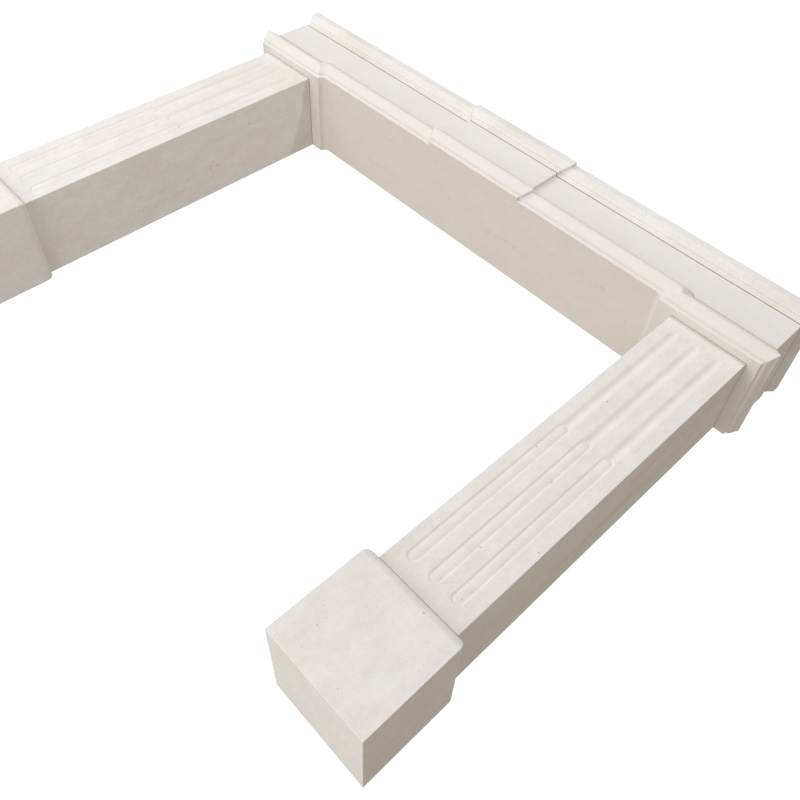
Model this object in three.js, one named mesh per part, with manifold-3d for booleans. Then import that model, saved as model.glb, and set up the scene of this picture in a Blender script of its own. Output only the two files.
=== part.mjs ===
// A carved limestone fireplace mantelpiece, in millimetres, standing on its two plinths.
// +Z is up, the moulded front faces -Y and the flat back, which meets the wall, faces +Y.
// The origin is on the hearth, at the middle of the width and of the depth.
import * as THREE from "three";
import { mergeVertices } from "three/addons/utils/BufferGeometryUtils.js";
import Module from "manifold-3d";

const wasm = await Module();
wasm.setup();

// The opening for the fire, and the heights of the joints between the blocks
const OPENING_WIDTH = 1126;
const PLINTH_TOP = 200;
const LEG_TOP = 980;
const LINTEL_TOP = 1131;
const MANTEL_TOP = 1181;
const JOINT = 0.3; // the open line under each block that rests on another

// The legs
const LEG_WIDTH = 170;
const LEG_DEPTH = 200;
const PLINTH_SIDE_OVERHANG = 20;
const PLINTH_FRONT_OVERHANG = 16;
const PLINTH_EDGE_RADIUS = 17;

// The flutes on the front of each shaft, three of them, the lower part of each filled by a reed
const FLUTE_COUNT = 3;
const FLUTE_PITCH = 48;
const FLUTE_SHIFT = 2.5; // the flutes stand this much nearer to the opening than the middle
const FLUTE_HALF_WIDTH = 12.6;
const FLUTE_DEPTH = 2.2;
const FLUTE_BOTTOM = 230;
const FLUTE_TOP = 948;
const FLUTE_RUN_OUT = 28;
const FLUTE_RUN_OUT_POWER = 2.2; // 2 would end the flute in half an ellipse, more is squarer
const FLUTE_OVERRUN = 0.4; // how far the cutter runs past the ends of the flute, clear of the face
const REED_TOP = 614;
const REED_HALF_WIDTH = 9;
const REED_SINK = 0.4; // the reed's crest lies this far behind the face

// The lintel: its capitals stand proud of the legs, and its frieze is flush with them
const CAPITAL_FRONT_OVERHANG = 18.5;
const CAPITAL_OUTER_OVERHANG = 24;
const CAPITAL_INNER_OVERHANG = 36;
const SOFFIT_STEP = 14; // the underside is this much higher between the capitals
const COVE_RADIUS = 17; // of the hollow between a capital and the soffit
const COVE_LEAN = 0.8; // how far that break slides outwards for each millimetre up the moulding
const BREAKFRONT_WIDTH = 274;
const BREAKFRONT_PROJECTION = 9;

// The moulding round the foot of the lintel, from its lower edge up
const FILLET_HEIGHT = 7.5;
const FILLET_LEAN = 0.5;
const MOULDING_STEP = 5; // how far it stands out just above the fillet
const MOULDING_STEP_RISE = 1.5;
const NOSE_PROJECTION = 16;
const NOSE_BOTTOM = 29;
const NOSE_TOP = 34;
const NOSE_ROUND = 2.5;
const MOULDING_HEIGHT = 57;

// The edge of the shelf, from the joint up
const SHELF_SETBACK = 5; // its foot starts this far inside each end of the lintel
const SHELF_FILLET_HEIGHT = 12.5;
const SHELF_FILLET_LEAN = 1.5;
const SHELF_STEP = 4;
const SHELF_STEP_RISE = 1;
const SHELF_SWELL_FOOT = 2; // how far the lower half of the swelling curve leans outwards
const SHELF_SWELL_HEAD = 5; // how far below its top the curve turns upright
const SHELF_SWELL_EASE = 1; // and how far behind the upright edge it does so
const SHELF_OVERHANG = 15.5;
const SHELF_CURVE_TOP = 30;
const SHELF_TOP_ROUND = 3;

// How finely the curves are faceted
const CURVE_STEPS = 7;
const COVE_STEPS = 6;
const EDGE_STEPS = 6;
const FLUTE_SIDES = 120;
const REED_SIDES = 240;
const END_STEPS = 7;

// The tones and roughness of the stone
const PLINTH_TONE = 0xe4e0da;
const SHAFT_TONE = 0xe6e3dd;
const LINTEL_TONE = 0xe7e4de;
const SHELF_TONE = 0xeae4dc;
const PLINTH_ROUGHNESS = 0.85;
const BLOCK_ROUGHNESS = 0.8;

// Worked out from the sizes above
const LEG_INNER_X = OPENING_WIDTH / 2;
const LEG_MIDDLE_X = LEG_INNER_X + LEG_WIDTH / 2;
const FRIEZE_X = LEG_INNER_X + LEG_WIDTH + CAPITAL_OUTER_OVERHANG;
const FRIEZE_DEPTH = LEG_DEPTH + CAPITAL_FRONT_OVERHANG;
const DEPTH = FRIEZE_DEPTH + BREAKFRONT_PROJECTION + NOSE_PROJECTION;
const BACK_Y = DEPTH / 2;
const LEG_FRONT_Y = BACK_Y - LEG_DEPTH;
const FRIEZE_Y = BACK_Y - FRIEZE_DEPTH;
const SOFFIT_Z = LEG_TOP + SOFFIT_STEP;
const FLUTE_RADIUS = (FLUTE_HALF_WIDTH ** 2 + FLUTE_DEPTH ** 2) / (2 * FLUTE_DEPTH);
const FLUTE_AXIS = FLUTE_RADIUS - FLUTE_DEPTH; // how far in front of the face its centre lies

// A closed shell, gathered face by face. A point is a THREE.Vector3.
class Shell {
  constructor() {
    this.positions = [];
  }

  triangle(a, b, c) {
    this.positions.push(...a.toArray(), ...b.toArray(), ...c.toArray());
  }

  // A four-sided face, its corners anticlockwise as seen from outside.
  quad(a, b, c, d) {
    this.triangle(a, b, c);
    this.triangle(a, c, d);
  }

  // A flat face with any number of corners, which looks along the direction outward.
  face(corners, outward) {
    const side = outward.z === 0 ? new THREE.Vector3().crossVectors(UP, outward) : RIGHT;
    const up = new THREE.Vector3().crossVectors(outward, side);
    const flat = corners.map((p) => new THREE.Vector2(p.dot(side), p.dot(up)));
    for (const [i, j, k] of THREE.ShapeUtils.triangulateShape(flat, [])) {
      const turn = THREE.ShapeUtils.area([flat[i], flat[j], flat[k]]);
      if (turn > 0) this.triangle(corners[i], corners[j], corners[k]);
      else this.triangle(corners[i], corners[k], corners[j]);
    }
  }

  geometry() {
    const shape = new THREE.BufferGeometry();
    const positions = new THREE.Float32BufferAttribute(this.positions, 3);
    shape.setAttribute("position", positions);
    shape.computeVertexNormals();
    return shape;
  }
}

const LEFT = new THREE.Vector3(-1, 0, 0);
const RIGHT = new THREE.Vector3(1, 0, 0);
const FRONT = new THREE.Vector3(0, -1, 0);
const BACK = new THREE.Vector3(0, 1, 0);
const UP = new THREE.Vector3(0, 0, 1);
const DOWN = new THREE.Vector3(0, 0, -1);

// A place on the plan line that a moulding follows. out is the way its projection grows there, and
// lean is how far the place slides along X for each millimetre of height, as at a mitre.
function station(x, y, z, out, lean = 0) {
  return { foot: new THREE.Vector3(x, y, z), out, lean };
}

// The point of a profile, { out, up }, at a station.
function profilePoint(place, { out, up }) {
  const point = place.foot.clone().addScaledVector(place.out, out);
  return point.add(new THREE.Vector3(place.lean * up, 0, up));
}

// The stations round the front of a block with a flat back: left side, front and right side.
function frontLine(halfWidth, frontY, z, between = []) {
  return [
    station(-halfWidth, BACK_Y, z, LEFT),
    station(-halfWidth, frontY, z, new THREE.Vector3(-1, -1, 0)),
    ...between,
    station(halfWidth, frontY, z, new THREE.Vector3(1, -1, 0)),
    station(halfWidth, BACK_Y, z, RIGHT),
  ];
}

// The four stations at which the middle of the front steps forward as the breakfront.
function breakfrontLine(z) {
  const halfWidth = BREAKFRONT_WIDTH / 2;
  const outerY = FRIEZE_Y - BREAKFRONT_PROJECTION;
  const outLeft = new THREE.Vector3(-1, -1, 0);
  const outRight = new THREE.Vector3(1, -1, 0);
  return [
    station(-halfWidth, FRIEZE_Y, z, outLeft),
    station(-halfWidth, outerY, z, outLeft),
    station(halfWidth, outerY, z, outRight),
    station(halfWidth, FRIEZE_Y, z, outRight),
  ];
}

// The same stations, moved sideways.
function shifted(places, x) {
  const by = new THREE.Vector3(x, 0, 0);
  return places.map((place) => ({ ...place, foot: place.foot.clone().add(by) }));
}

// The rings of a moulded block: ring k holds the profile's point k at every station.
function ringsOf(places, profile) {
  return profile.map((point) => places.map((place) => profilePoint(place, point)));
}

// The moulded faces between the rings, from one end of the line to the other.
function addRings(shell, rings) {
  for (let k = 0; k + 1 < rings.length; k++) {
    const [low, high] = [rings[k], rings[k + 1]];
    for (let i = 0; i + 1 < low.length; i++) {
      shell.quad(low[i], low[i + 1], high[i + 1], high[i]);
    }
  }
}

// The flat back, between the two ends of the rings.
function backOutline(rings) {
  const leftEnd = rings.map((ring) => ring[0]);
  const rightEnd = rings.map((ring) => ring[ring.length - 1]);
  return [...rightEnd, ...leftEnd.reverse()];
}

// A block with a flat foot, a flat top and a flat back, moulded on its front and sides.
function mouldedBlock(places, profile) {
  const shell = new Shell();
  const rings = ringsOf(places, profile);
  addRings(shell, rings);
  shell.face(rings[0], DOWN);
  shell.face(rings[rings.length - 1], UP);
  shell.face(backOutline(rings), BACK);
  return shell.geometry();
}

// Points on a quarter circle that starts upright at the first point and ends level, further in.
function quarterRound(radius, out, up, steps) {
  return Array.from({ length: steps + 1 }, (_, i) => {
    const angle = (i / steps) * (Math.PI / 2);
    return {
      out: out - radius * (1 - Math.cos(angle)),
      up: up + radius * Math.sin(angle),
    };
  });
}

// Points of a curve given in the plane of the profile, x outwards and y up.
function curvePoints(curve, steps) {
  return curve.getPoints(steps).map((p) => ({ out: p.x, up: p.y }));
}

// A plinth: plain, with a quarter-round top edge on its front and both sides.
function plinthGeometry(side) {
  const halfWidth = LEG_WIDTH / 2 + PLINTH_SIDE_OVERHANG;
  const places = frontLine(halfWidth, LEG_FRONT_Y - PLINTH_FRONT_OVERHANG, 0);
  const edgeStart = PLINTH_TOP - JOINT - PLINTH_EDGE_RADIUS;
  const profile = [
    { out: 0, up: 0 },
    ...quarterRound(PLINTH_EDGE_RADIUS, 0, edgeStart, EDGE_STEPS),
  ];
  return mouldedBlock(shifted(places, side * LEG_MIDDLE_X), profile);
}

// The profile of the moulding round the foot of the lintel.
function lintelProfile() {
  const stepTop = FILLET_HEIGHT + MOULDING_STEP_RISE;
  const bend = (NOSE_BOTTOM - stepTop) / 4; // how far the curve runs before it turns
  const middle = (MOULDING_STEP + NOSE_PROJECTION) / 2;
  const swell = new THREE.CubicBezierCurve(
    new THREE.Vector2(MOULDING_STEP, stepTop),
    new THREE.Vector2(middle, stepTop + bend),
    new THREE.Vector2(middle, NOSE_BOTTOM - bend),
    new THREE.Vector2(NOSE_PROJECTION, NOSE_BOTTOM),
  );
  return [
    { out: 0, up: 0 },
    { out: FILLET_LEAN, up: FILLET_HEIGHT },
    ...curvePoints(swell, CURVE_STEPS),
    { out: NOSE_PROJECTION, up: NOSE_TOP },
    { out: NOSE_PROJECTION - NOSE_ROUND, up: NOSE_TOP + NOSE_ROUND },
    { out: 0, up: MOULDING_HEIGHT },
  ];
}

// The hollow where the soffit comes down to a capital, as stations from the soffit to the arris.
// side is -1 on the left and 1 on the right.
function coveLine(side) {
  const arrisX = LEG_INNER_X - CAPITAL_INNER_OVERHANG;
  const endAngle = Math.asin(1 - SOFFIT_STEP / COVE_RADIUS);
  const centreX = arrisX - COVE_RADIUS * Math.cos(endAngle);
  return Array.from({ length: COVE_STEPS + 1 }, (_, i) => {
    const angle = Math.PI / 2 + (endAngle - Math.PI / 2) * (i / COVE_STEPS);
    const x = centreX + COVE_RADIUS * Math.cos(angle);
    const z = SOFFIT_Z - COVE_RADIUS * (1 - Math.sin(angle));
    return station(side * x, FRIEZE_Y, z, FRONT, side * COVE_LEAN);
  });
}

// The lintel: frieze, capitals, breakfront and foot moulding, all carved from one block.
function lintelGeometry() {
  const coveLeft = coveLine(-1).reverse();
  const coveRight = coveLine(1);
  const middle = breakfrontLine(SOFFIT_Z);
  const between = [...coveLeft, ...middle, ...coveRight];
  const places = frontLine(FRIEZE_X, FRIEZE_Y, LEG_TOP, between);
  const shell = new Shell();
  const rings = ringsOf(places, lintelProfile());
  addRings(shell, rings);

  // The plain frieze above the moulding, one flat face for each stretch between two corners
  const moulded = rings[rings.length - 1];
  const atTop = (p) => new THREE.Vector3(p.x, p.y, LINTEL_TOP - JOINT);
  const firstBreak = places.indexOf(middle[0]);
  const breaks = middle.map((_, i) => firstBreak + i);
  const corners = [0, 1, ...breaks, moulded.length - 2, moulded.length - 1];
  const looks = [LEFT, FRONT, LEFT, FRONT, RIGHT, FRONT, RIGHT];
  looks.forEach((look, i) => {
    const foot = moulded.slice(corners[i], corners[i + 1] + 1);
    shell.face([...foot, atTop(foot[foot.length - 1]), atTop(foot[0])], look);
  });
  const topCorners = corners.map((i) => atTop(moulded[i]));
  shell.face(topCorners, UP);

  // The underside: a flat under each capital, the two coves, and the soffit between them
  const lower = rings[0];
  const atBack = (p) => new THREE.Vector3(p.x, BACK_Y, p.z);
  const arrisLeft = 2; // after the two stations of the left side
  const soffitLeft = firstBreak - 1;
  const soffitRight = firstBreak + middle.length;
  const arrisRight = moulded.length - 1 - arrisLeft;
  const soffitFront = lower.slice(soffitLeft, soffitRight + 1);
  const soffitBack = [atBack(lower[soffitRight]), atBack(lower[soffitLeft])];
  shell.face([...lower.slice(0, arrisLeft + 1), atBack(lower[arrisLeft])], DOWN);
  shell.face([...soffitFront, ...soffitBack], DOWN);
  shell.face([...lower.slice(arrisRight), atBack(lower[arrisRight])], DOWN);
  for (const [first, last] of [[arrisLeft, soffitLeft], [soffitRight, arrisRight]]) {
    for (let i = first; i < last; i++) {
      shell.quad(lower[i + 1], lower[i], atBack(lower[i]), atBack(lower[i + 1]));
    }
  }

  // The back, whose lower edge follows the coves
  const coveBacks = [
    ...lower.slice(arrisLeft, soffitLeft + 1),
    ...lower.slice(soffitRight, arrisRight + 1),
  ].map(atBack);
  const [topLeft, topRight] = [topCorners[0], topCorners[topCorners.length - 1]];
  const rightSide = [...rings.map((ring) => ring[ring.length - 1]), topRight];
  const leftSide = [topLeft, ...rings.map((ring) => ring[0]).reverse()];
  shell.face([...coveBacks, ...rightSide, ...leftSide], BACK);
  return shell.geometry();
}

// The shelf: a fillet, a swelling curve, an upright edge and a slightly eased top arris.
function shelfGeometry() {
  const thickness = MANTEL_TOP - LINTEL_TOP;
  const halfWay = (SHELF_FILLET_HEIGHT + SHELF_CURVE_TOP) / 2;
  const swell = new THREE.CubicBezierCurve(
    new THREE.Vector2(SHELF_STEP, SHELF_FILLET_HEIGHT + SHELF_STEP_RISE),
    new THREE.Vector2(SHELF_STEP + SHELF_SWELL_FOOT, halfWay),
    new THREE.Vector2(SHELF_OVERHANG - SHELF_SWELL_EASE, SHELF_CURVE_TOP - SHELF_SWELL_HEAD),
    new THREE.Vector2(SHELF_OVERHANG, SHELF_CURVE_TOP),
  );
  const edgeStart = thickness - SHELF_TOP_ROUND;
  const profile = [
    { out: 0, up: 0 },
    { out: SHELF_FILLET_LEAN, up: SHELF_FILLET_HEIGHT },
    ...curvePoints(swell, CURVE_STEPS),
    ...quarterRound(SHELF_TOP_ROUND, SHELF_OVERHANG, edgeStart, EDGE_STEPS / 2),
  ];
  const front = breakfrontLine(LINTEL_TOP);
  const places = frontLine(FRIEZE_X - SHELF_SETBACK, FRIEZE_Y, LINTEL_TOP, front);
  return mouldedBlock(places, profile);
}

// A geometry as a solid that can be joined and cut.
function solid(geometry) {
  const bare = geometry.clone();
  bare.deleteAttribute("normal");
  bare.deleteAttribute("uv");
  const merged = mergeVertices(bare, 1e-4);
  return new wasm.Manifold(
    new wasm.Mesh({
      numProp: 3,
      vertProperties: merged.attributes.position.array,
      triVerts: new Uint32Array(merged.index.array),
    }),
  );
}

// A solid back as a geometry with flat shading.
function geometryOf(body) {
  const mesh = body.getMesh();
  const shape = new THREE.BufferGeometry();
  shape.setAttribute("position", new THREE.BufferAttribute(mesh.vertProperties, 3));
  shape.setIndex(new THREE.BufferAttribute(mesh.triVerts, 1));
  const faceted = shape.toNonIndexed();
  faceted.computeVertexNormals();
  return faceted;
}

// A turned bar along Z with its axis at the origin, from points of radius and height.
function turnedBar(outline, sides) {
  const bar = new THREE.LatheGeometry(outline, sides);
  bar.rotateX(Math.PI / 2);
  bar.rotateZ(Math.PI / sides); // so that none of its edges lies in the shaft's face
  return bar;
}

// Points on the ball at one end of a bar, from its full radius over a length along the axis.
// direction is -1 below the ball's centre and 1 above it.
function ballEnd(radius, centreZ, length, direction) {
  const whole = Math.asin(length / radius);
  return Array.from({ length: END_STEPS + 1 }, (_, i) => {
    const angle = (i / END_STEPS) * whole;
    const z = centreZ + direction * radius * Math.sin(angle);
    return new THREE.Vector2(radius * Math.cos(angle), z);
  });
}

// An outline of points on a bar from its foot up, closed on the axis at both ends.
function closedOnAxis(points) {
  const [foot, head] = [points[0], points[points.length - 1]];
  return [new THREE.Vector2(0, foot.y), ...points, new THREE.Vector2(0, head.y)];
}

// The bar whose front cuts a flute: round at the foot, and running out softly at the top.
function fluteCutter(x) {
  const footLength = FLUTE_HALF_WIDTH + FLUTE_OVERRUN;
  const foot = ballEnd(FLUTE_RADIUS, FLUTE_BOTTOM + FLUTE_HALF_WIDTH, footLength, -1);
  const runOut = Array.from({ length: END_STEPS + 1 }, (_, i) => {
    const part = i / END_STEPS;
    const dip = FLUTE_DEPTH * Math.sqrt(1 - part ** FLUTE_RUN_OUT_POWER);
    return new THREE.Vector2(FLUTE_AXIS + dip, FLUTE_TOP - FLUTE_RUN_OUT * (1 - part));
  });
  runOut.push(new THREE.Vector2(FLUTE_AXIS - FLUTE_OVERRUN, FLUTE_TOP + FLUTE_OVERRUN));
  const bar = turnedBar(closedOnAxis([...foot.reverse(), ...runOut]), FLUTE_SIDES);
  bar.translate(x, LEG_FRONT_Y - FLUTE_AXIS, 0);
  return solid(bar);
}

// The rounded reed that fills the lower part of a flute: the front of a wide bar.
function reed(x) {
  // The depth at which the reed's side meets the flute, and the circle through that and the crest
  const sideDepth = Math.sqrt(FLUTE_RADIUS ** 2 - REED_HALF_WIDTH ** 2) - FLUTE_AXIS;
  const rise = sideDepth - REED_SINK;
  const radius = (REED_HALF_WIDTH ** 2 + rise ** 2) / (2 * rise);
  const whole = FLUTE_DEPTH - REED_SINK;
  const headLength = Math.sqrt(radius ** 2 - (radius - whole) ** 2);
  const foot = ballEnd(radius, FLUTE_BOTTOM + FLUTE_HALF_WIDTH, FLUTE_HALF_WIDTH, -1);
  const head = ballEnd(radius, REED_TOP - headLength, headLength, 1);
  const bar = turnedBar(closedOnAxis([...foot.reverse(), ...head]), REED_SIDES);
  bar.translate(x, LEG_FRONT_Y + REED_SINK + radius, 0);
  return solid(bar);
}

// A shaft: a square block with its flutes cut round the reeds that are left standing in them.
function shaftGeometry(side) {
  const height = LEG_TOP - PLINTH_TOP - JOINT;
  const uncut = new THREE.BoxGeometry(LEG_WIDTH, LEG_DEPTH, height);
  uncut.translate(side * LEG_MIDDLE_X, BACK_Y - LEG_DEPTH / 2, PLINTH_TOP + height / 2);
  let shaft = solid(uncut);
  for (let i = 0; i < FLUTE_COUNT; i++) {
    const offset = (i - (FLUTE_COUNT - 1) / 2) * FLUTE_PITCH;
    const x = side * (LEG_MIDDLE_X - FLUTE_SHIFT) + offset;
    shaft = shaft.subtract(fluteCutter(x).subtract(reed(x)));
  }
  return geometryOf(shaft);
}

// Each block gets a material of its own, in the tone of its stone.
function block(name, geometry, tone, roughness) {
  const material = new THREE.MeshStandardMaterial({ color: tone, roughness, metalness: 0 });
  const mesh = new THREE.Mesh(geometry, material);
  mesh.name = name;
  return mesh;
}

const mantelpiece = new THREE.Group();
for (const [name, side] of [["left", -1], ["right", 1]]) {
  mantelpiece.add(block("plinth_" + name, plinthGeometry(side), PLINTH_TONE, PLINTH_ROUGHNESS));
  mantelpiece.add(block("shaft_" + name, shaftGeometry(side), SHAFT_TONE, BLOCK_ROUGHNESS));
}
mantelpiece.add(block("lintel", lintelGeometry(), LINTEL_TONE, BLOCK_ROUGHNESS));
mantelpiece.add(block("mantel_shelf", shelfGeometry(), SHELF_TONE, BLOCK_ROUGHNESS));

export default mantelpiece;
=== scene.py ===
# %% [markdown]
# A carved limestone mantelpiece. The packed model already says where each of its six blocks is: two
# plinths, two fluted shafts, the lintel and the shelf. This lesson gives every block a finer mesh
# of the same form, with eased arrises, real flutes and real pits, and then a stone to be made of.
# Lengths are in metres. +Z is up, the moulded front faces -Y and the wall is at +Y.

# %% Load the packed model
import math

import bmesh
import bpy
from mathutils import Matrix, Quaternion, Vector


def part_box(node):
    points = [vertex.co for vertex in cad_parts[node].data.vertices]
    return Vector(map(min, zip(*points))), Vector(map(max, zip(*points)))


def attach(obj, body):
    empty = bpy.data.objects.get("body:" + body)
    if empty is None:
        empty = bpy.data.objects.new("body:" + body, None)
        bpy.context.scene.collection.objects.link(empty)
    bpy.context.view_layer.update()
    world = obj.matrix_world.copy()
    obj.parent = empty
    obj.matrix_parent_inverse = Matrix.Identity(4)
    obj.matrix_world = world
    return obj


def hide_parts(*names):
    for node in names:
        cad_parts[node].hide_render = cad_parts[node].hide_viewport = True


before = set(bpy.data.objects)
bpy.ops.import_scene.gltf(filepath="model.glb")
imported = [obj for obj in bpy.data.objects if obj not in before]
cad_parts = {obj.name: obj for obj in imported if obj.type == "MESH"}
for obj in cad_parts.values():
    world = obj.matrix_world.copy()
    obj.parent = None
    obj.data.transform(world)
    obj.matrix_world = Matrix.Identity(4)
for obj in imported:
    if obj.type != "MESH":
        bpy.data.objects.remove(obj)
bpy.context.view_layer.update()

print("Its blocks:", ", ".join(sorted(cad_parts)))

# %% [markdown]
# Every block follows from a few sizes. The boxes of the packed blocks give the large ones, so the
# script only has to name the sizes of the mouldings and of the flutes.

# %% The sizes of the blocks
MM = 0.001
ARRIS = 1.1 * MM  # how far the outer edges are eased
MOULDING_HEIGHT = 57 * MM  # from a capital's foot to the plain frieze
SOFFIT_STEP = 14 * MM  # how much higher the lintel's underside is between the capitals

shaft_low, shaft_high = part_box("shaft_right")
lintel_low, lintel_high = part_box("lintel")
shelf_low, shelf_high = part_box("mantel_shelf")

BACK_Y = shaft_high.y
LEG_FRONT_Y = shaft_low.y
LEG_X = (shaft_low.x + shaft_high.x) / 2
FRIEZE_FOOT = lintel_low.z + MOULDING_HEIGHT
SOFFIT_Z = lintel_low.z + SOFFIT_STEP
print(f"A leg is {shaft_high.x - shaft_low.x:.3f} wide and {BACK_Y - LEG_FRONT_Y:.3f} deep")

# %% [markdown]
# The camera looks at the stone from in front, from its right and from below its feet, and it is
# rolled over, because the mantelpiece was photographed lying on its back. A camera is turned by
# aiming it first and rolling it about its own axis afterwards.

# %% The camera
CAMERA_PLACE = (1.0107, -1.2545, -0.2260)
CAMERA_AIM = (0.3054, -0.0780, 0.5116)
CAMERA_ROLL = 55.26  # degrees
LENS = 37.914  # for a 36 mm sensor
SENSOR_SHIFT = (-0.0121, -0.0494)


def in_scene(name, data):
    """A new object that holds this mesh, light or camera."""
    made = bpy.data.objects.new(name, data)
    bpy.context.scene.collection.objects.link(made)
    return made


def aim(thing, place, target, roll=0.0):
    """Puts a camera or light at its place, turns it to its target and rolls it."""
    turned = (Vector(target) - Vector(place)).to_track_quat("-Z", "Y")
    thing.rotation_mode = "QUATERNION"
    thing.rotation_quaternion = turned @ Quaternion((0, 0, 1), roll)
    thing.location = place


def make_camera():
    """The camera at the photograph's place."""
    data = bpy.data.cameras.new("camera")
    data.lens = LENS
    data.shift_x, data.shift_y = SENSOR_SHIFT
    camera = in_scene("camera", data)
    aim(camera, CAMERA_PLACE, CAMERA_AIM, math.radians(CAMERA_ROLL))
    bpy.context.scene.camera = camera


make_camera()
print("Camera at", CAMERA_PLACE)

# %% [markdown]
# Shader nodes and geometry nodes use the same Math node, so one small class serves both. It wraps
# an output socket, and a sum of two such sockets adds the node that works it out.

# %% Node sums as Python sums
def operator(operation):
    """The methods for a Python operator and its reflected form, which add a Math node."""

    def plain(self, other):
        return self.nodes.math(operation, self, other)

    def reflected(self, other):
        return self.nodes.math(operation, other, self)

    return plain, reflected


class Wire:
    """An output socket that can be used in a sum."""

    __add__, __radd__ = operator("ADD")
    __sub__, __rsub__ = operator("SUBTRACT")
    __mul__, __rmul__ = operator("MULTIPLY")
    __truediv__, __rtruediv__ = operator("DIVIDE")
    __pow__, __rpow__ = operator("POWER")

    def __init__(self, nodes, socket):
        self.nodes = nodes
        self.socket = socket

    def __abs__(self):
        return self.nodes.math("ABSOLUTE", self)

    def out(self, name):
        """Another output of the same node."""
        return Wire(self.nodes, self.socket.node.outputs[name])


class Nodes:
    """Adds nodes to one tree."""

    def __init__(self, tree):
        self.tree = tree

    def node(self, kind, settings=None, sockets=None, out=0):
        """A node of a kind, with its settings first and then its sockets' values or links."""
        made = self.tree.nodes.new(kind)
        for name, value in (settings or {}).items():
            setattr(made, name, value)
        for key, value in (sockets or {}).items():
            if isinstance(value, Wire):
                self.tree.links.new(value.socket, made.inputs[key])
            else:
                made.inputs[key].default_value = value
        return Wire(self, made.outputs[out]) if made.outputs else made

    def math(self, operation, *values, clamp=False):
        settings = {"operation": operation, "use_clamp": clamp}
        return self.node("ShaderNodeMath", settings, dict(enumerate(values)))

    def vector(self, x, y, z):
        return self.node("ShaderNodeCombineXYZ", sockets={0: x, 1: y, 2: z})

    def vector_math(self, operation, *values, **named):
        sockets = {**dict(enumerate(values)), **named}
        return self.node("ShaderNodeVectorMath", {"operation": operation}, sockets)

    def part(self, vector, axis):
        """One of the three numbers of a vector."""
        return self.node("ShaderNodeSeparateXYZ", sockets={0: vector}).out(axis)


def cleared(owner):
    """The empty node tree of a material or a world."""
    owner.use_nodes = True
    owner.node_tree.nodes.clear()
    return owner.node_tree


print("Nodes come from:", ", ".join(name for name in vars(Nodes) if not name.startswith("_")))

# %% [markdown]
# A geometry nodes tree gets named inputs for its sizes. A modifier knows an input by its socket's
# identifier, so the function that runs a tree looks the identifier up by the input's name. It turns
# the result into a plain mesh, and the modifier is gone before anything else happens to the piece.

# %% Make and run a geometry nodes tree
SOCKETS = {
    "geometry": "NodeSocketGeometry",
    "number": "NodeSocketFloat",
    "count": "NodeSocketInt",
    "object": "NodeSocketObject",
    "stone": "NodeSocketMaterial",
}


class GeometryTree(Nodes):
    """A geometry nodes tree with named inputs, one geometry in and one out."""

    def __init__(self, name, inputs):
        super().__init__(bpy.data.node_groups.new(name, "GeometryNodeTree"))
        face = self.tree.interface
        face.new_socket("Geometry", in_out="INPUT", socket_type=SOCKETS["geometry"])
        for label, kind in inputs.items():
            face.new_socket(label, in_out="INPUT", socket_type=SOCKETS[kind])
        face.new_socket("Geometry", in_out="OUTPUT", socket_type=SOCKETS["geometry"])
        self.source = self.node("NodeGroupInput")

    def value(self, label):
        return self.source.out(label)

    def shape(self, label):
        """The geometry of the object that an input names."""
        sockets = {"Object": self.value(label)}
        return self.node("GeometryNodeObjectInfo", sockets=sockets).out("Geometry")

    def count(self, geometry):
        """How many points a mesh has."""
        settings = {"component": "MESH"}
        return self.node("GeometryNodeAttributeDomainSize", settings, {"Geometry": geometry})

    def grid(self, rows, columns):
        """A grid to be bent into shape, and each point's row and column in it."""
        sizes = {"Vertices X": rows, "Vertices Y": columns}
        grid = self.node("GeometryNodeMeshGrid", sockets=sizes)
        index = self.node("GeometryNodeInputIndex")
        row = self.math("FLOOR", (index + 0.5) / columns)
        return grid, row, index - row * columns

    def attribute(self, name, kind="FLOAT"):
        settings = {"data_type": kind}
        return self.node("GeometryNodeInputNamedAttribute", settings, {"Name": name})

    def sample(self, geometry, value, index, kind="FLOAT_VECTOR"):
        """The value that a point of another geometry has."""
        settings = {"data_type": kind, "domain": "POINT"}
        sockets = {"Geometry": geometry, "Value": value, "Index": index}
        return self.node("GeometryNodeSampleIndex", settings, sockets)

    def finish(self, geometry):
        """Ends the tree in real mesh that carries its stone."""
        real = self.node("GeometryNodeRealizeInstances", sockets={"Geometry": geometry})
        sockets = {"Geometry": real, "Material": self.value("Stone")}
        clad = self.node("GeometryNodeSetMaterial", sockets=sockets)
        self.node("NodeGroupOutput", sockets={"Geometry": clad})

    def finish_joined(self, added):
        """Ends the tree in the mesh that came in, joined to the copies that the tree adds."""
        joined = self.node("GeometryNodeJoinGeometry", sockets={0: self.value("Geometry")})
        self.tree.links.new(added.socket, joined.socket.node.inputs[0])
        self.finish(joined)


def run_tree(maker, mesh, **values):
    """The plain mesh that a tree makes of a mesh. Underscores in a name stand for spaces."""
    feed = in_scene("feed", mesh)
    modifier = feed.modifiers.new("tree", "NODES")
    modifier.node_group = maker.tree
    for item in maker.tree.interface.items_tree:
        wanted = item.name.lower().replace(" ", "_")
        if item.in_out == "INPUT" and wanted in values:
            modifier[item.identifier] = values[wanted]
    bpy.context.view_layer.update()
    shown = feed.evaluated_get(bpy.context.evaluated_depsgraph_get())
    result = bpy.data.meshes.new_from_object(shown)
    bpy.data.objects.remove(feed)
    return result


print("Kinds of input:", ", ".join(SOCKETS))

# %% [markdown]
# A mason works a moulding by running one profile along the plan of the block. The plan is a row of
# stations. Each station knows which way the profile grows there, slantwise at a mitre, and how far
# it leans aside as it climbs. Blender's own sweep thins a profile at a mitre, so a small tree of
# our own places every point: station, plus growth times the profile's reach, plus its height.

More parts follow.
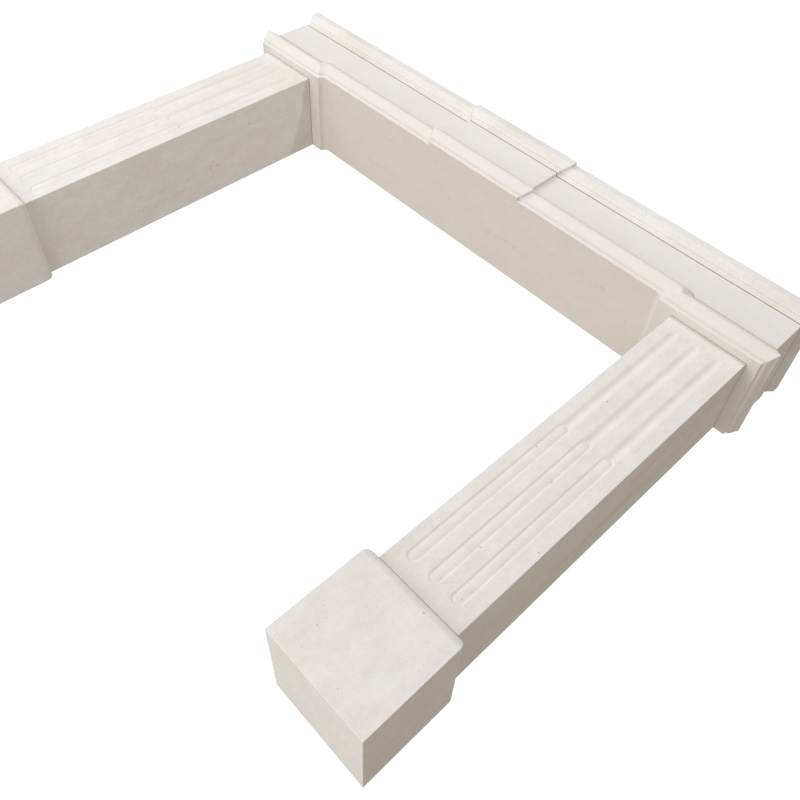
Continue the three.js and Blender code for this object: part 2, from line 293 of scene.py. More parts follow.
# %% The tree that runs a profile along a plan
def moulding_tree():
    inputs = {"Profile": "object", "Foot": "number", "Level above": "number", "Stone": "stone"}
    tree = GeometryTree("run a profile along a plan", inputs)
    stations = tree.value("Geometry")
    profile = tree.shape("Profile")
    grid, place, step = tree.grid(tree.count(stations), tree.count(profile))
    position = tree.node("GeometryNodeInputPosition")
    foot = tree.sample(stations, position, place)
    grow = tree.sample(stations, tree.attribute("grow", "FLOAT_VECTOR"), place)
    lean = tree.sample(stations, tree.attribute("lean"), place, "FLOAT")
    shape = tree.sample(profile, position, step)
    height = tree.part(shape, "Z")

    level = tree.value("Level above")
    is_level = tree.math("GREATER_THAN", height, level)
    foot_z = tree.part(foot, "Z")
    z = height + foot_z + is_level * (tree.value("Foot") - foot_z)
    x = tree.part(foot, "X") + lean * tree.math("MINIMUM", height, level)
    grown = tree.vector_math("SCALE", grow, Scale=tree.part(shape, "X"))
    plain = tree.vector(x, tree.part(foot, "Y"), z)
    sockets = {"Geometry": grid, "Position": tree.vector_math("ADD", plain, grown)}
    tree.finish(tree.node("GeometryNodeSetPosition", sockets=sockets))
    return tree


MOULDING = moulding_tree()
print("Moulding tree:", len(MOULDING.tree.nodes), "nodes")

# %% [markdown]
# No arris on worked limestone is truly sharp. A chisel and a rubbing stone leave each outer edge
# about a millimetre round, and that narrow round catches the light. A Bevel modifier could add it,
# but here the outline is known, so each outer corner of it is simply swapped for a small arc. An
# inner corner stays sharp, as a chisel leaves it.

# %% Ease the corners of an outline
EASE_STEPS = 4
SHARP_TURN = math.radians(25)


def eased(points, radius=ARRIS):
    """An outline (pairs of numbers, the stone on the left) with its outer corners rounded."""
    result = [points[0]]
    for before, corner, after in zip(points, points[1:], points[2:]):
        come = Vector(corner) - Vector(before)
        leave = Vector(after) - Vector(corner)
        turn = math.atan2(come.cross(leave), come.dot(leave))
        reach = min(radius, come.length / 2, leave.length / 2)
        if turn < SHARP_TURN:
            result.append(corner)
            continue
        start = Vector(corner) - come.normalized() * reach
        end = Vector(corner) + leave.normalized() * reach
        for i in range(EASE_STEPS + 1):
            t = i / EASE_STEPS
            curve = start * (1 - t) ** 2 + Vector(corner) * 2 * t * (1 - t) + end * t**2
            result.append(tuple(curve))
    return result + [points[-1]]


def quarter_round(out, up, radius, steps):
    """Points from the foot of a quarter circle to its level end, further in."""
    turns = [i / steps * math.pi / 2 for i in range(steps + 1)]
    return [(out - radius * (1 - math.cos(a)), up + radius * math.sin(a)) for a in turns]


def bezier(points, steps):
    """Points on the cubic curve with four control points."""
    a, b, c, d = (Vector(p) for p in points)
    result = []
    for i in range(steps + 1):
        t = i / steps
        s = 1 - t
        result.append(tuple(a * s**3 + b * 3 * s * s * t + c * 3 * s * t * t + d * t**3))
    return result


print("A square corner gets", len(eased([(0, 0), (1, 0), (1, 1)])) - 2, "points")

# %% [markdown]
# The plan of a block starts at the wall on the left, goes round the front and ends at the wall on
# the right. The growth at a corner is the same all round its little arc, so the corner of a
# moulding stays as crisp as the corner of the block below it.

# %% Stations round the front of a block
LEFT = Vector((-1, 0, 0))
RIGHT = Vector((1, 0, 0))
FRONT = Vector((0, -1, 0))
LEFT_MITRE = LEFT + FRONT
RIGHT_MITRE = RIGHT + FRONT
FORWARD, ACROSS, BACKWARD = Vector((0, -1)), Vector((1, 0)), Vector((0, 1))


def corner_stations(x, y, z, come, leave, grow):
    """The stations round one eased outer corner. come and leave are the ways the plan runs."""
    corner = Vector((x, y))
    ends = [tuple(corner - come * ARRIS * 2), (x, y), tuple(corner + leave * ARRIS * 2)]
    return [(Vector((px, py, z)), grow, 0.0) for px, py in eased(ends)[1:-1]]


def front_plan(low_x, high_x, front_y, z, between=()):
    """The stations of a block with a flat back, and others between its two front corners."""
    return [
        (Vector((low_x, BACK_Y, z)), LEFT, 0.0),
        *corner_stations(low_x, front_y, z, FORWARD, ACROSS, LEFT_MITRE),
        *between,
        *corner_stations(high_x, front_y, z, ACROSS, BACKWARD, RIGHT_MITRE),
        (Vector((high_x, BACK_Y, z)), RIGHT, 0.0),
    ]


def line_mesh(name, points):
    mesh = bpy.data.meshes.new(name)
    mesh.from_pydata(points, [(i, i + 1) for i in range(len(points) - 1)], [])
    return mesh


def swept(plan, profile, foot, level_above):
    """The moulded faces of a block. Vertex i * len(profile) + k is profile point k at station i."""
    stations = line_mesh("stations", [place for place, _, _ in plan])
    grow = stations.attributes.new("grow", "FLOAT_VECTOR", "POINT")
    grow.data.foreach_set("vector", [number for _, growth, _ in plan for number in growth])
    lean = stations.attributes.new("lean", "FLOAT", "POINT")
    lean.data.foreach_set("value", [slide for _, _, slide in plan])
    shape = in_scene("profile", line_mesh("profile", [(out, 0, up) for out, up in profile]))
    values = {"profile": shape, "foot": foot, "level_above": level_above}
    mesh = run_tree(MOULDING, stations, **values)
    bpy.data.objects.remove(shape)
    return mesh


print("The plan of a plain block has", len(front_plan(-1, 1, -1, 0)), "stations")

# %% [markdown]
# What the tree makes is open at its foot, top and back. Each of these is one flat face, so its
# rim is collected in order and filled. Then the normals are turned outwards.

# %% Close a moulded block
SHARP_ABOVE = math.radians(24)
LEVEL = math.radians(0.2)
BROAD = 8 * MM
TOUCHING = 1e-6
NO_LENGTH = 1e-7
ABOVE_ALL = 10.0  # metres, higher than any profile reaches


def breadth(face):
    return face.calc_area() / max(edge.calc_length() for edge in face.edges)


def mark_creases(mesh):
    """Sharp edges where stone turns sharply, and round every broad flat face."""
    broad = {face for face in mesh.faces if breadth(face) > BROAD}
    for edge in mesh.edges:
        turn = edge.calc_face_angle(0)
        flat = any(face in broad for face in edge.link_faces)
        if turn > SHARP_ABOVE or (flat and turn > LEVEL):
            edge.smooth = False


class Block:
    """A swept mesh in the making, with its vertices by station and profile point."""

    def __init__(self, plan, profile, foot, level_above=ABOVE_ALL):
        mesh = swept(plan, profile, foot, level_above)
        self.mesh = bmesh.new()
        self.mesh.from_mesh(mesh)
        self.points = list(self.mesh.verts)
        self.stations = len(plan)
        self.steps = len(profile)

    def at(self, station, step):
        return self.points[(station % self.stations) * self.steps + step % self.steps]

    def ring(self, step):
        return [self.at(i, step) for i in range(self.stations)]

    def side(self, station):
        return [self.at(station, k) for k in range(self.steps)]

    def face(self, corners):
        self.mesh.faces.new(corners)

    def close_flat(self):
        """Foot, top and back of a block whose foot is level."""
        self.face(self.ring(0))
        self.face(self.ring(-1))
        self.face(self.side(0) + self.side(-1)[::-1])

    def merge_level_faces(self):
        """Joins neighbours that lie in one plane, so that a flat stretch is one face."""
        parts = {"verts": self.mesh.verts, "edges": self.mesh.edges}
        bmesh.ops.dissolve_limit(self.mesh, angle_limit=LEVEL / 4, **parts)


def weld(mesh):
    bmesh.ops.remove_doubles(mesh, verts=mesh.verts, dist=TOUCHING)
    bmesh.ops.dissolve_degenerate(mesh, edges=mesh.edges, dist=NO_LENGTH)


def finished(name, mesh, stone, node):
    """A piece of the scene from a bmesh: welded, its normals out, riding where its block is."""
    weld(mesh)
    for face in mesh.faces:
        face.smooth = True
    bmesh.ops.recalc_face_normals(mesh, faces=mesh.faces)
    mark_creases(mesh)
    open_edges = sum(len(edge.link_faces) != 2 for edge in mesh.edges)
    data = bpy.data.meshes.new(name)
    mesh.to_mesh(data)
    mesh.free()
    data.materials.append(stone)
    piece = in_scene(name, data)
    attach(piece, "root")
    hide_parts(node)
    print(f"{name}: {len(data.polygons)} faces, {open_edges} open edges")


print(f"Edges are sharp above {math.degrees(SHARP_ABOVE):.0f} degrees")

# %% [markdown]
# The stone is a fine, honed limestone, and one plain colour would look like plaster. It clouds softly
# over a hand's breadth, it mottles over a thumb's breadth and it has a fine grain. It was laid down
# in beds, so short brown dashes run one way, along the length of each block, and here and there a
# shell has left a pit. Each of these is a mask between 0 and 1, made from a noise or from the cells
# of a Voronoi pattern. Both read Object coordinates, which here are metres, so all has its real size.

# %% Masks for the stone
CORE = 0.4  # a mark is full up to this share of its reach, and fades from there
SMALLEST_SPECK = 0.0001


class StoneMasks(Nodes):
    """Masks made from an object's own coordinates. bed is the way the beds run."""

    def __init__(self, tree, bed):
        super().__init__(tree)
        self.bed = bed
        self.place = self.node("ShaderNodeTexCoord").out("Object")

    def facing(self, axis):
        """How far the surface looks along an axis, from -1 to 1."""
        return self.part(self.node("ShaderNodeTexCoord").out("Normal"), axis)

    def stretched(self, across, along):
        """The place, scaled to so many features a metre across the beds and along them."""
        scale = tuple(along if axis == self.bed else across for axis in "XYZ")
        return self.vector_math("MULTIPLY", self.place, scale)

    def noise(self, across, along, detail):
        vector = self.stretched(across, along)
        sockets = {"Vector": vector, "Scale": 1.0, "Detail": detail, "Roughness": 0.5}
        return self.node("ShaderNodeTexNoise", sockets=sockets)

    def band(self, value, low, high):
        """0 up to low, 1 from high on and a soft step between them. low may be the larger one."""
        sockets = {"Value": value, "From Min": low, "From Max": high}
        return self.node("ShaderNodeMapRange", {"interpolation_type": "SMOOTHSTEP"}, sockets)

    def specks(self, across, along, reach, share):
        """Small round or drawn-out specks in a share of the cells of a Voronoi pattern."""
        sockets = {"Vector": self.stretched(across, along), "Scale": 1.0}
        cells = self.node("ShaderNodeTexVoronoi", sockets=sockets)
        chance = self.node("ShaderNodeSeparateColor", sockets={0: cells.out("Color")})
        size = self.band(chance, 1 - share, 1.0) * reach + SMALLEST_SPECK
        return self.band(cells.out("Distance") / size, 1.0, CORE)

    def mix(self, mask, first, second):
        colours = {6: first, 7: second}
        for key, colour in colours.items():
            if isinstance(colour, tuple):
                colours[key] = (*colour, 1)
        return self.node("ShaderNodeMix", {"data_type": "RGBA"}, {0: mask, **colours}, out=2)

    def tinted(self, mask, colour, tint):
        """A colour, multiplied by a tint where the mask is 1."""
        settings = {"data_type": "RGBA", "blend_type": "MULTIPLY"}
        sockets = {0: mask, 6: colour, 7: (*tint, 1)}
        return self.node("ShaderNodeMix", settings, sockets, out=2)


print("Masks:", ", ".join(name for name in vars(StoneMasks) if not name.startswith("_")))

# %% [markdown]
# The colour starts from the block's own tone. Mottling at three scales darkens it a little, and soft
# clouds make it warmer. Then an ochre stain is mixed in, brown for dashes, specks and pits, and a
# darker brown along the bedding joints. What is mixed in stays faint, because light picks out a pale
# stone more than its colour does.

# %% The stone
PALE = (0.748, 0.734, 0.706)
DASH_BROWN = (0.36, 0.29, 0.21)
PIT_BROWN = (0.27, 0.21, 0.15)
# brown for the bedding joints, also used for the painted shade line at the foot of the frieze
JOINT_AND_SHADE_BROWN = (0.24, 0.18, 0.13)
OCHRE = (0.62, 0.57, 0.46)
CLOUD_TINT = (1.0, 0.985, 0.965)
MOTTLE_DEPTH = (0.05, 0.056, 0.066)
STRENGTH = {"bed": 0.1, "specks": 0.3, "pits": 0.6, "joint": 0.8}

MOTTLING = [(24, 15, 1.0), (85, 60, 2.0), (340, 260, 1.0)]  # features a metre across and along, detail
CLOUDS = (7, 4, 2)
PATCHES = (5.5, 2.5, 3)
WANDER = (2.0, 3.0, 2)
GRAIN = (700, 700, 1)
MOTTLE_STEP = (0.32, 0.68)  # where in the noise a mask starts and where it is full
CLOUD_STEP = (0.35, 0.65)
PATCH_STEP = (0.5, 0.75)

DASHES = (170, 70, 0.7, 0.9)  # cells a metre across and along, reach, share of the cells
PITS = (44, 38, 0.09, 0.8)
SPECKS = (110, 90, 0.17, 0.6)

RELIEF = {"grain": 0.15, "mottling": 0.35, "dashes": 0.4}
RELIEF_HEIGHT = 0.5 * MM
ROUGHNESS = (0.68, 0.16)  # the least, and how much more the mottling makes it

BED_HALF = 10 * MM
BED_FADE = 60 * MM
BED_WANDER = 10 * MM
ACROSS_BEDS = (0.7, 0.3)  # how far a face that cuts the beds may look forward
JOINT_DIRT = 1.8 * MM


def scaled(colour, factors):
    return tuple(part * factor for part, factor in zip(colour, factors))


def lifted(tone, mottle):
    """The tone, raised so that it stays the mean once the mottling has darkened half of it."""
    kept = [(1 - part * mottle / 2) ** len(MOTTLING) for part in MOTTLE_DEPTH]
    return tuple(part / share for part, share in zip(tone, kept))


def joint_mask(maker, height, joints):
    """1 on the arrises at each bedding joint."""
    apart = 1.0
    for joint in joints:
        apart = maker.math("MINIMUM", apart, abs(height - joint))
    return maker.band(apart, JOINT_DIRT, JOINT_DIRT * CORE)


def bed_mask(maker, beds):
    """1 in some beds, given as (depth, start, end), on the faces that cut across them."""
    wander = maker.noise(*WANDER) * (2 * BED_WANDER) - BED_WANDER
    depth = maker.part(maker.place, "Y") + wander
    along = maker.part(maker.place, maker.bed)
    shown = 0.0
    for bed, start, end in beds:
        near = maker.band(abs(depth - bed), BED_HALF, BED_HALF * CORE)
        inside = maker.band(along, start, start + BED_FADE) * maker.band(along, end, end - BED_FADE)
        shown = maker.math("MAXIMUM", shown, near * inside)
    return shown * maker.band(abs(maker.facing("Y")), *ACROSS_BEDS)


def plain_tone(maker, tone, height):
    return (*tone, 1)


def limestone(name, bed, joints, beds, stain, marks, mottle, tone_by_place=plain_tone):
    """Honed limestone. stain is how ochre its patches are, and marks how dark its dashes."""
    stone = bpy.data.materials.new(name)
    maker = StoneMasks(cleared(stone), bed)

    height = maker.part(maker.place, "Z")
    colour = tone_by_place(maker, lifted(PALE, mottle), height)
    mottlings = [maker.noise(*scales) for scales in MOTTLING]
    finest = mottlings[-1]
    darker = tuple(1 - part * mottle for part in MOTTLE_DEPTH)
    for mottling in mottlings:
        colour = maker.tinted(maker.band(mottling, *MOTTLE_STEP), colour, darker)
    colour = maker.tinted(maker.band(maker.noise(*CLOUDS), *CLOUD_STEP), colour, CLOUD_TINT)
    colour = maker.mix(maker.band(maker.noise(*PATCHES), *PATCH_STEP) * stain, colour, OCHRE)

    in_bed = bed_mask(maker, beds)
    dashes = maker.specks(*DASHES) * in_bed
    pits = maker.specks(*PITS)
    specks = maker.specks(*SPECKS)
    joint = joint_mask(maker, height, joints)
    colour = maker.mix(in_bed * (marks * STRENGTH["bed"]), colour, DASH_BROWN)
    colour = maker.mix(dashes * marks, colour, DASH_BROWN)
    colour = maker.mix(specks * STRENGTH["specks"], colour, DASH_BROWN)
    colour = maker.mix(pits * STRENGTH["pits"], colour, PIT_BROWN)
    colour = maker.mix(joint * STRENGTH["joint"], colour, JOINT_AND_SHADE_BROWN)

    hollow = maker.math("MAXIMUM", pits, dashes * (RELIEF["dashes"] * marks))
    relief = maker.noise(*GRAIN) * RELIEF["grain"] + finest * RELIEF["mottling"] - hollow
    bump = {"Strength": 0.7, "Distance": RELIEF_HEIGHT, "Height": relief}
    least, more = ROUGHNESS
    sockets = {
        "Base Color": colour,
        "Roughness": least + finest * more,
        "Specular IOR Level": 0.35,
        "Normal": maker.node("ShaderNodeBump", sockets=bump),
    }
    shader = maker.node("ShaderNodeBsdfPrincipled", sockets=sockets)
    maker.node("ShaderNodeOutputMaterial", sockets={"Surface": shader})
    return stone


print("Scales of mottling:", len(MOTTLING))

# %% [markdown]
# The blocks share one pale tone. On the lintel it varies from place to place: the upright frieze is
# cool and the moulding a little pink. The underside over the opening, which faces down, is painted
# a darker beige as shade, and above each capital a fine dark line of painted shade runs at the foot
# of the frieze. The places come from the height and from the way a face looks, so no face has to be
# picked by hand.

# %% The stone of each block
MOULDING_TINT = (0.99, 0.978, 0.98)
FRIEZE_TINT = (0.985, 0.995, 1.0)
# painted shade: the downward faces over the opening are made darker and warmer
SOFFIT_SHADE_TINT = (0.985, 0.945, 0.91)
UPRIGHT = (0.06, 0.02)  # how far an upright face may look up or down
DOWN = (-0.99, -0.999)
FRIEZE_HEIGHTS = (FRIEZE_FOOT - 5 * MM, FRIEZE_FOOT - 2 * MM)
SOFFIT_HEIGHTS = (SOFFIT_Z - 4 * MM, SOFFIT_Z - 1 * MM)
# painted shade: a fine dark line in the crease at the foot of the frieze, over each capital
PAINTED_SHADE_LINE = (1.8 * MM, 0.6 * MM)  # half its width, and half that of its core
PAINTED_SHADE_FROM = (540 * MM, 550 * MM)  # off centre
PAINTED_SHADE_STRENGTH = 0.5
LEG_JOINTS = [shaft_low.z, shaft_high.z]
SHELF_JOINT = [shelf_low.z]
LEG_BEDS = [(-0.026, 0.62, 0.93), (0.045, 0.42, 0.72), (0.075, 0.38, 0.60)]
LINTEL_BEDS = [(-0.02, 0.28, 0.46), (0.06, -0.42, -0.2), (0.03, 0.0, 0.2)]


def lintel_tone(maker, tone, height):
    """Cool on the upright frieze and pinkish on the moulding, with painted shade: a dark line at the
    foot of the frieze and darker beige on the underside over the opening.
    """
    facing = maker.facing("Z")
    frieze = maker.band(abs(facing), *UPRIGHT) * maker.band(height, *FRIEZE_HEIGHTS)
    colour = maker.mix(frieze, scaled(tone, MOULDING_TINT), scaled(tone, FRIEZE_TINT))
    off_centre = abs(maker.part(maker.place, "X"))
    # painted shade line along the crease at the foot of the frieze, from the capitals outwards
    line = maker.band(abs(height - FRIEZE_FOOT), *PAINTED_SHADE_LINE) * maker.band(off_centre, *PAINTED_SHADE_FROM)
    colour = maker.mix(line * PAINTED_SHADE_STRENGTH, colour, JOINT_AND_SHADE_BROWN)
    # painted shade: downward faces at the soffit's height are made darker and warmer
    soffit_shade = maker.band(facing, *DOWN) * maker.band(height, *SOFFIT_HEIGHTS)
    return maker.mix(soffit_shade, colour, scaled(tone, SOFFIT_SHADE_TINT))


PLINTH_STONE = limestone("plinth limestone", "Z", [], [], stain=0.12, marks=0.0, mottle=0.65)
SHAFT_STONE = limestone("shaft limestone", "Z", LEG_JOINTS, LEG_BEDS, 0.25, 0.42, 0.7)
LINTEL_STONE = limestone(
    "lintel limestone", "X", SHELF_JOINT, LINTEL_BEDS, 0.1, 0.2, 0.35, lintel_tone
)
SHELF_STONE = limestone("shelf limestone", "X", SHELF_JOINT, [], 0.45, 0.0, 0.7)
print("Nodes in a stone:", len(SHAFT_STONE.node_tree.nodes))

# %% [markdown]
# Limestone holds small hollows where a shell has gone. A tree scatters them over some strips of an
# upright flat side, each a shallow bowl with an open rim, placed and sized by chance from fixed
# seeds. The flat face is taken out first and filled again round all the rims, so every pit is real.

# %% The tree that scatters pits
UP = Vector((0, 0, 1))
UNEVEN = [1.0, 0.82, 0.93, 1.1, 0.88, 0.97, 0.78, 1.05, 0.9, 1.02]  # how far each spoke reaches
BOWL = [(1.0, 0.0), (0.85, -0.5), (0.5, -0.9)]  # reach and height of each ring
PIT_SPACING = 7 * MM
IN_PLANE = 1e-5


def pit_bowl():
    """A bowl about one unit wide on either side, open at its uneven rim."""
    turns = [2 * math.pi * i / len(UNEVEN) for i in range(len(UNEVEN))]
    bowl = bmesh.new()
    rings = []
    for reach, height in BOWL:
        spokes = [(reach * part, turn) for part, turn in zip(UNEVEN, turns)]
        spots = [(out * math.cos(turn), out * math.sin(turn), height) for out, turn in spokes]
        rings.append([bowl.verts.new(spot) for spot in spots])
    for upper, lower in zip(rings, rings[1:]):
        for i in range(len(turns)):
            bowl.faces.new((upper[i - 1], upper[i], lower[i], lower[i - 1]))
    bowl.faces.new(rings[-1])
    mesh = bpy.data.meshes.new("pit")
    bowl.to_mesh(mesh)
    bowl.free()
    return in_scene("pit", mesh)


def pit_tree():
    inputs = {"Region": "object", "Pit": "object", "Seed": "count", "Spacing": "number"}
    inputs.update({"Most": "number", "Smallest": "number", "Largest": "number", "Stone": "stone"})
    tree = GeometryTree("scatter pits", inputs)
    method = {"distribute_method": "POISSON"}
    sockets = {"Mesh": tree.shape("Region"), "Seed": tree.value("Seed")}
    sockets.update({"Distance Min": tree.value("Spacing"), "Density Max": tree.value("Most")})
    points = tree.node("GeometryNodeDistributePointsOnFaces", method, sockets)
    smallest, largest = tree.value("Smallest"), tree.value("Largest")
    limits = {0: tree.vector(smallest, smallest, smallest), 1: tree.vector(largest, largest, largest)}
    size = tree.node("FunctionNodeRandomValue", {"data_type": "FLOAT_VECTOR"}, limits)
    sockets = {"Points": points, "Instance": tree.shape("Pit"), "Scale": size}
    sockets["Rotation"] = points.out("Rotation")
    tree.finish_joined(tree.node("GeometryNodeInstanceOnPoints", sockets=sockets))
    return tree


PITTING = pit_tree()
PIT = pit_bowl()


class FlatSide:
    """An upright flat side of a block, and the strips of it that hold pits."""

    def __init__(self, normal, strips, seed, most, smallest, largest):
        self.normal = normal
        self.strips = [self.corners(low, high) for low, high in strips]
        self.choices = {"seed": seed, "most": most, "smallest": smallest, "largest": largest}

    def corners(self, low, high):
        """The corners of a strip, in the order that goes round the normal."""
        across = UP.cross(self.normal)
        if (high - low).dot(across) < 0:
            low, high = Vector((high.x, high.y, low.z)), Vector((low.x, low.y, high.z))
        width = across * (high - low).dot(across)
        rise = UP * (high.z - low.z)
        return [low, low + width, low + width + rise, low + rise]

    def holds(self, vertices):
        start = self.strips[0][0]
        return all(abs((vertex.co - start).dot(self.normal)) < IN_PLANE for vertex in vertices)

    def take_out(self, mesh):
        flat = [face for face in mesh.faces if self.holds(face.verts)]
        bmesh.ops.delete(mesh, geom=flat, context="FACES_ONLY")

    def scatter(self, body, stone):
        strips = bpy.data.meshes.new("strips")
        corners = [corner for strip in self.strips for corner in strip]
        faces = [range(i, i + 4) for i in range(0, len(corners), 4)]
        strips.from_pydata(corners, [], faces)
        region = in_scene("region", strips)
        values = {"region": region, "pit": PIT, "spacing": PIT_SPACING, "stone": stone}
        pitted = run_tree(PITTING, body, **values, **self.choices)
        bpy.data.objects.remove(region)
        return pitted

    def fill(self, mesh):
        rims = [edge for edge in mesh.edges if len(edge.link_faces) == 1 and self.holds(edge.verts)]
        for edge in rims:
            edge.smooth = False
        bmesh.ops.triangle_fill(mesh, use_beauty=True, edges=rims, normal=self.normal)


def with_pits(block, sides, stone, shape=None):
    """The block's mesh with pits in its sides. shape cuts more into the open block."""
    for side in sides:
        side.take_out(block)
    body = bpy.data.meshes.new("body")
    block.to_mesh(body)
    body = shape(body) if shape else body
    for side in sides:
        body = side.scatter(body, stone)
    block.clear()
    block.from_mesh(body)
    weld(block)
    for side in sides:
        side.fill(block)
    return block


print("Pit tree:", len(PITTING.tree.nodes), "nodes; a pit has", len(PIT.data.vertices), "points")

# %% [markdown]
# A plinth is a plain block with a quarter-round top edge on its front and both sides.

# %% The plinths
PLINTH_ROUND = 17 * MM
INSET = 4 * MM  # where the flat foot and top of a block start, inside its outline
PIT_EDGE = 7 * MM  # how near an edge of a flat side pits may come
PLINTH_PITS = (520, 0.35 * MM, 1.3 * MM)  # the most a square metre, the smallest and the largest


def plinth(side, seed):
    low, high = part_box("plinth_" + side)
    edge = high.z - PLINTH_ROUND
    profile = [(-INSET, 0), *eased([(-INSET, 0), (0, 0), (0, edge)])[1:-1]]
    profile += quarter_round(0, edge, PLINTH_ROUND, steps=16)
    block = Block(front_plan(low.x, high.x, low.y, low.z), profile, low.z)
    block.close_flat()
    strip = (
        Vector((low.x + PIT_EDGE, low.y, low.z + PIT_EDGE)),
        Vector((high.x - PIT_EDGE, low.y, edge - PIT_EDGE)),
    )
    front = FlatSide(FRONT, [strip], seed, *PLINTH_PITS)
    mesh = with_pits(block.mesh, [front], PLINTH_STONE)
    finished("plinth_block_" + side, mesh, PLINTH_STONE, "plinth_" + side)


plinth("left", 3)
plinth("right", 8)

# %% [markdown]
# The lintel is one long block. Its plan starts under the left capital, climbs over a small hollow
# to the soffit, steps forward round the breakfront and comes down to the right capital in the same
# way. Above the moulding everything is level again, so the tree measures those points from the
# capital's foot.

# %% The plan and profile of the lintel
BREAKFRONT_HALF = 137 * MM
BREAKFRONT = 9 * MM
NOSE = 16 * MM
FRIEZE_Y = lintel_low.y + BREAKFRONT + NOSE
FRIEZE_X = lintel_high.x - NOSE
CAPITAL_INNER_X = 527 * MM
COVE_RADIUS = 17 * MM
COVE_LEAN = 0.8
COVE_STEPS = 14
QUIRK = 0.8 * MM  # the depth of the fine groove at the foot of the frieze
CARVED_ARRIS = 0.9 * MM
SWELL_STEPS = 14


def breakfront(z):
    """The stations where the middle of the front steps forward."""
    y = FRIEZE_Y - BREAKFRONT
    return [
        (Vector((-BREAKFRONT_HALF, FRIEZE_Y, z)), LEFT_MITRE, 0.0),
        *corner_stations(-BREAKFRONT_HALF, y, z, FORWARD, ACROSS, LEFT_MITRE),
        *corner_stations(BREAKFRONT_HALF, y, z, ACROSS, BACKWARD, RIGHT_MITRE),
        (Vector((BREAKFRONT_HALF, FRIEZE_Y, z)), RIGHT_MITRE, 0.0),
    ]


def cove():
    """The right hollow between soffit and capital, as (x, z) from the soffit to the capital."""
    end = math.asin(1 - SOFFIT_STEP / COVE_RADIUS)
    centre = CAPITAL_INNER_X - COVE_RADIUS * math.cos(end)
    turns = [math.pi / 2 + (end - math.pi / 2) * i / COVE_STEPS for i in range(COVE_STEPS + 1)]
    hollow = [
        (centre + COVE_RADIUS * math.cos(a), SOFFIT_Z - COVE_RADIUS * (1 - math.sin(a)))
        for a in turns
    ]
    beyond = (CAPITAL_INNER_X + ARRIS * 2, lintel_low.z)
    turned = [(-x, z) for x, z in [*hollow, beyond]][::-1]
    return [(-x, z) for x, z in eased(turned)[1:]][::-1]


def cove_stations(side):
    rounded = [(Vector((side * x, FRIEZE_Y, z)), FRONT, side * COVE_LEAN) for x, z in cove()]
    return rounded if side > 0 else rounded[::-1]


def lintel_profile():
    fillet, lean, step, rise = 7.5 * MM, 0.5 * MM, 5 * MM, 9 * MM
    nose_low, nose_high, nose_round, ledge = 29 * MM, 34 * MM, 2.5 * MM, 0.3 * MM
    bend, middle = (nose_low - rise) / 4, (step + NOSE) / 2
    swell = [(step, rise), (middle, rise + bend), (middle, nose_low - bend), (NOSE, nose_low)]
    top = lintel_high.z - lintel_low.z
    lower = [(-INSET, 0), (0, 0), (lean, fillet), *bezier(swell, SWELL_STEPS)]
    upper = [(NOSE, nose_high), (NOSE - nose_round, nose_high + nose_round)]
    upper += [(ledge, MOULDING_HEIGHT - QUIRK), (-QUIRK, MOULDING_HEIGHT - QUIRK / 2)]
    level = [(0, MOULDING_HEIGHT), (0, top), (-INSET, top)]
    return eased([*lower, *upper, *level], CARVED_ARRIS)


print("Lintel profile:", len(lintel_profile()), "points; a cove:", len(cove()), "stations")

# %% [markdown]
# The underside of the lintel is not level, so it is closed stretch by stretch: every station's
# lowest point is joined to a copy of itself at the wall. The back is one face.

# %% The lintel
JUST_ABOVE = 0.1 * MM


def lintel():
    coves = cove_stations(-1), cove_stations(1)
    between = [*coves[0], *breakfront(SOFFIT_Z), *coves[1]]
    plan = front_plan(-FRIEZE_X, FRIEZE_X, FRIEZE_Y, lintel_low.z, between)
    profile = lintel_profile()
    block = Block(plan, profile, lintel_low.z, MOULDING_HEIGHT + JUST_ABOVE)
    first = next(i for i, station in enumerate(plan) if station[2])
    last = len(plan) - 1 - first
    lower = block.ring(0)
    at_back = {}
    for i in range(first, last + 1):
        place = lower[i].co
        at_back[i] = block.mesh.verts.new((place.x, BACK_Y, place.z))
    soffit = [i for i in range(first, last + 1) if abs(lower[i].co.z - SOFFIT_Z) < TOUCHING]
    flats = [(0, first), (soffit[0], soffit[-1]), (last, len(plan) - 1)]
    for start, end in flats:
        behind = [at_back[i] for i in (end, start) if i in at_back]
        block.face([*lower[start : end + 1], *behind])
    for i in [*range(first, soffit[0]), *range(soffit[-1], last)]:
        block.face([lower[i], lower[i + 1], at_back[i + 1], at_back[i]])
    block.face(block.ring(-1))
    hollows = [*range(first, soffit[0] + 1), *range(soffit[-1], last + 1)]
    feet = [at_back[i] for i in hollows]
    block.face([*feet, *block.side(-1), *block.side(0)[::-1]])
    block.merge_level_faces()
    finished("lintel_block", block.mesh, LINTEL_STONE, "lintel")


lintel()

# %% [markdown]
# The shelf is a flat slab with a fillet, a swelling curve and an upright edge, and it steps forward
# over the breakfront.

# %% The shelf
SHELF_OVERHANG = 15.5 * MM


def shelf_profile():
    fillet, lean, step, rise = 14.5 * MM, 1.5 * MM, 4.5 * MM, 1 * MM
    swell_foot, swell_head, swell_ease, curve_top = 2 * MM, 5 * MM, 1 * MM, 31 * MM
    top_round = 3 * MM
    thickness = shelf_high.z - shelf_low.z
    swell = [
        (step, fillet + rise),
        (step + swell_foot, (fillet + curve_top) / 2),
        (SHELF_OVERHANG - swell_ease, curve_top - swell_head),
        (SHELF_OVERHANG, curve_top),
    ]
    lower = [(-INSET, 0), (0, 0), (lean, fillet), *bezier(swell, SWELL_STEPS)]
    edge = quarter_round(SHELF_OVERHANG, thickness - top_round, top_round, steps=6)
    return [*eased(lower, CARVED_ARRIS), *edge, (-INSET, thickness)]


